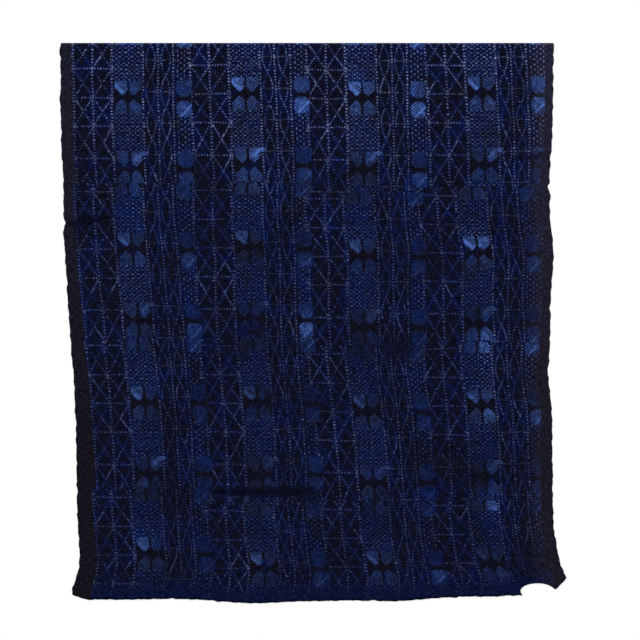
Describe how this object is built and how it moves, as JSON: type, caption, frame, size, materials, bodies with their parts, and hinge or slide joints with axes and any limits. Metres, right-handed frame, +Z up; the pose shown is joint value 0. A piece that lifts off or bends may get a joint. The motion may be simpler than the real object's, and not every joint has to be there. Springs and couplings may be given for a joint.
{
  "type": "mud cloth",
  "caption": "Indigo handwoven mud cloth with a resist pattern of dots, lattice and hatched squares, hanging from its fold over a bar, with a long front and a short back flap.",
  "frame": {"origin": "middle of the level line where the inside of the fold bears on the bar, which is not built", "axes": "+Z up along the hang, -Y the way the printed front faces, +X to the right of a viewer of the front"},
  "size_m": [1.1261, 0.0555, 1.251],
  "materials": {
    "indigo_cotton": "matte handwoven cotton, dark indigo with paler blue resist marks"
  },
  "bodies": {
    "root": {"mud_cloth": "indigo_cotton"}
  },
  "joints": []
}
